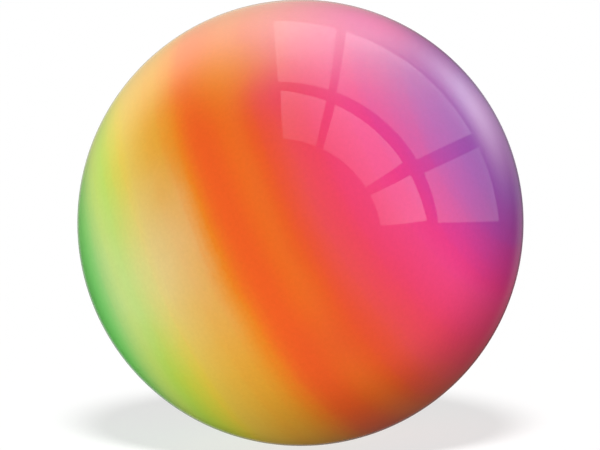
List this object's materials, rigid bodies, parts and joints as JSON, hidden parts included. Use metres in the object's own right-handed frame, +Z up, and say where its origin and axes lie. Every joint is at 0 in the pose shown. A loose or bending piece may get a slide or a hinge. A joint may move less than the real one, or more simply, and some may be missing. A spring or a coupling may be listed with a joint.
{
  "type": "juggling ball",
  "caption": "Glossy soft vinyl juggling ball, airbrushed in rainbow rings, with a stoppered filling port on its hidden pole and loose ballast inside.",
  "frame": {"origin": "the ball's centre", "axes": "+Z up as the ball lies, -Y towards the viewer of the picture; the filling port points left, back and down, and the colour bands ring its axis"},
  "size_m": [0.07, 0.07, 0.07],
  "materials": {
    "airbrushed_vinyl": "gloss",
    "natural_vinyl": "satin",
    "plug_vinyl": "satin",
    "loose_sand": "matte"
  },
  "bodies": {
    "ball": {"shell": "airbrushed_vinyl", "port_bush": "natural_vinyl"},
    "plug": {"port_plug": "plug_vinyl"},
    "fill": {"ballast_fill": "loose_sand"}
  },
  "joints": [
    {"name": "plug_pull", "type": "slide", "parent": "ball", "child": "plug", "axis": [-0.8702, 0.225, -0.4384], "range_m": [0, 0.012]},
    {"name": "fill_turn", "type": "hinge", "parent": "ball", "child": "fill", "pos_m": [0, 0, 0], "axis": [-0.8702, 0.225, -0.4384], "continuous": true}
  ]
}
